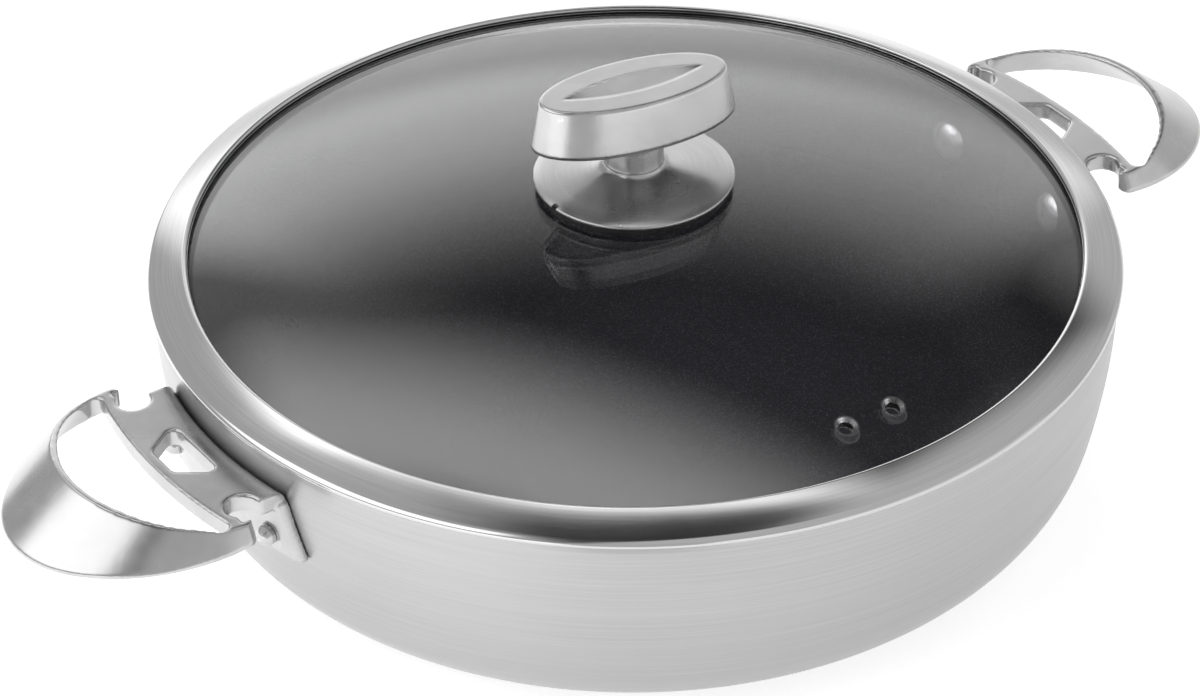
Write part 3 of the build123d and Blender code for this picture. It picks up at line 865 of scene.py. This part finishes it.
def makeFloor(size, turn):
    bm = bmesh.new()
    bmesh.ops.create_grid(bm, x_segments=2, y_segments=2, size=0.5)
    deep = size["back"] - size["front"]
    bmesh.ops.scale(bm, verts=bm.verts, vec=(2 * size["wide"], deep, 1))
    bmesh.ops.translate(bm, verts=bm.verts, vec=(0, size["front"] + deep / 2, 0))
    back = Matrix.Rotation(-radians(turn), 3, "Z")
    bmesh.ops.rotate(bm, verts=bm.verts, cent=(0, 0, 0), matrix=back)
    floor = addObject("studioFloor", meshFrom(bm, "studioFloor"))
    material, tree, shader = newMaterial("studioFloorPaper")
    shader.inputs["Base Color"].default_value = grey(size["color"])
    shader.inputs["Roughness"].default_value = size["roughness"]
    # The glow is white to the camera, and in reflections it falls off to the right
    path = addNode(tree, "LightPath").outputs
    place = addNode(tree, "Mapping", Vector=objectPlace(tree))
    place.inputs["Rotation"].default_value = (0, 0, radians(turn))
    across = addNode(tree, "SeparateXYZ", Vector=place.outputs[0]).outputs["X"]
    mirror = fade(tree, across, size["glowSpan"], size["mirrorGlow"])
    mirrored = greatest(tree, path["Is Glossy Ray"], path["Is Transmission Ray"])
    shown = product(tree, path["Is Camera Ray"], size["shownGlow"])
    glow = greatest(tree, shown, product(tree, mirrored, mirror))
    plug(tree, shader.inputs["Emission Strength"], glow)
    shader.inputs["Emission Color"].default_value = grey(1.0)
    floor.data.materials.append(material)


def softWindow(tree, value, low, high, soft):
    rise = fade(tree, value, (low - soft, low + soft))
    fall = fade(tree, value, (high - soft, high + soft), falling)
    return product(tree, rise, fall)


def degreesRound(tree, x, y):
    return product(tree, doMath(tree, "ARCTAN2", x, y), degrees(1.0))


def backLight(tree, zone, x, y, z):
    around = degreesRound(tree, x, y)
    level = doMath(tree, "MULTIPLY_ADD", x, zone["slope"], zone["level"])
    level = doMath(tree, "MINIMUM", greatest(tree, level, zone["least"]), zone["most"])
    return product(
        tree, level, fade(tree, z, zone["top"], falling),
        fade(tree, z, zone["low"], (zone["lowShare"], 1.0)),
        fade(tree, around, zone["left"]), fade(tree, around, zone["right"], falling),
    )


def fillLight(tree, zone, x, y):
    left = fade(tree, x, zone["leftSpan"], (zone["middle"], zone["left"]))
    side = doMath(tree, "MULTIPLY_ADD", y, zone["rightSkew"], x)
    right = fade(tree, side, zone["rightSpan"], (0.0, zone["right"]))
    ahead = fade(tree, y, zone["frontSpan"], (0.0, zone["front"]))
    return greatest(tree, left, right, ahead)


def overheadLight(tree, zone, x, y, z):
    skew = doMath(tree, "MULTIPLY_ADD", x, zone["skew"], y)
    return product(
        tree, fade(tree, skew, zone["span"], (zone["level"], 0.0)),
        fade(tree, skew, zone["start"]), fade(tree, y, zone["cut"]),
        fade(tree, z, zone["high"]), fade(tree, x, zone["left"]),
    )


def cardLight(tree, card, around, z):
    shape = softWindow(tree, around, *card["around"])
    return product(tree, shape, softWindow(tree, z, *card["height"]), card["level"])


def makeWorld(size):
    world = bpy.data.worlds.new("studioWorld")
    bpy.context.scene.world = world
    world.use_nodes = True
    tree = world.node_tree
    tree.nodes.clear()
    turned = addNode(tree, "Mapping", Vector=addNode(tree, "TexCoord").outputs["Generated"])
    turned.inputs["Rotation"].default_value = (0, 0, radians(size["turn"]))
    x, y, z = addNode(tree, "SeparateXYZ", Vector=turned.outputs[0]).outputs
    aroundFront = degreesRound(tree, x, product(tree, y, -1.0))
    level = greatest(
        tree, fillLight(tree, size["fill"], x, y), backLight(tree, size["back"], x, y, z),
        overheadLight(tree, size["overhead"], x, y, z),
        *[cardLight(tree, card, aroundFront, z) for card in size["cards"]],
    )
    light = addNode(tree, "Background", Color=grey(1.0), Strength=level)
    shown = addNode(tree, "Background", Color=grey(1.0), Strength=1.0)
    mix = tree.nodes.new("ShaderNodeMixShader")
    plug(tree, mix.inputs[0], addNode(tree, "LightPath").outputs["Is Camera Ray"])
    tree.links.new(light.outputs[0], mix.inputs[1])
    tree.links.new(shown.outputs[0], mix.inputs[2])
    output = tree.nodes.new("ShaderNodeOutputWorld")
    tree.links.new(mix.outputs[0], output.inputs["Surface"])


def makeLamp(size):
    light = bpy.data.lights.new("overheadSoftbox", "AREA")
    light.shape = "RECTANGLE"
    light.size, light.size_y = size["size"]
    light.energy = size["power"]
    holder = addObject("overheadSoftbox", light)
    holder.location = size["place"]
    aim = Vector(size["aim"]) - Vector(size["place"])
    holder.rotation_euler = aim.to_track_quat("-Z", "Y").to_euler()
    holder.visible_glossy = False
    holder.visible_transmission = False


makeFloor(studio["floor"], studio["turn"])
makeWorld(studio)
makeLamp(studio["lamp"])
print("studio made")


# Camera, solved from the lid's round rim in the photograph

cameraSize = {
    "focal": 4572.13, "imageWidth": 1200, "sensor": 36.0, "distance": 1550.0,
    "elevation": 0.588128, "yaw": -0.0077873, "pitch": 0.0215026, "roll": 0.0094598,
    "turn": -34.0, "height": 84.2, "clipEnd": 100,
}


def makeCamera(size):
    tilt = size["elevation"]
    place = Vector((0, -cos(tilt), sin(tilt))) * size["distance"]
    aim = Matrix.Rotation(pi / 2 - tilt, 3, "X")
    nudge = (
        Matrix.Rotation(size["roll"], 3, "Z")
        @ Matrix.Rotation(size["pitch"], 3, "X")
        @ Matrix.Rotation(size["yaw"], 3, "Y")
    )
    turn = Matrix.Rotation(radians(size["turn"]), 3, "Z")
    facing = (turn @ aim @ nudge.transposed()).to_4x4()
    spot = turn @ place * mm + Vector((0, 0, size["height"] * mm))
    data = bpy.data.cameras.new("photoCamera")
    data.sensor_width = size["sensor"]
    data.lens = size["focal"] * size["sensor"] / size["imageWidth"]
    data.clip_end = size["clipEnd"]
    camera = addObject("photoCamera", data)
    camera.matrix_world = Matrix.Translation(spot) @ facing
    bpy.context.scene.camera = camera


makeCamera(cameraSize)
bpy.context.scene.view_settings.view_transform = "Standard"
print("camera placed")
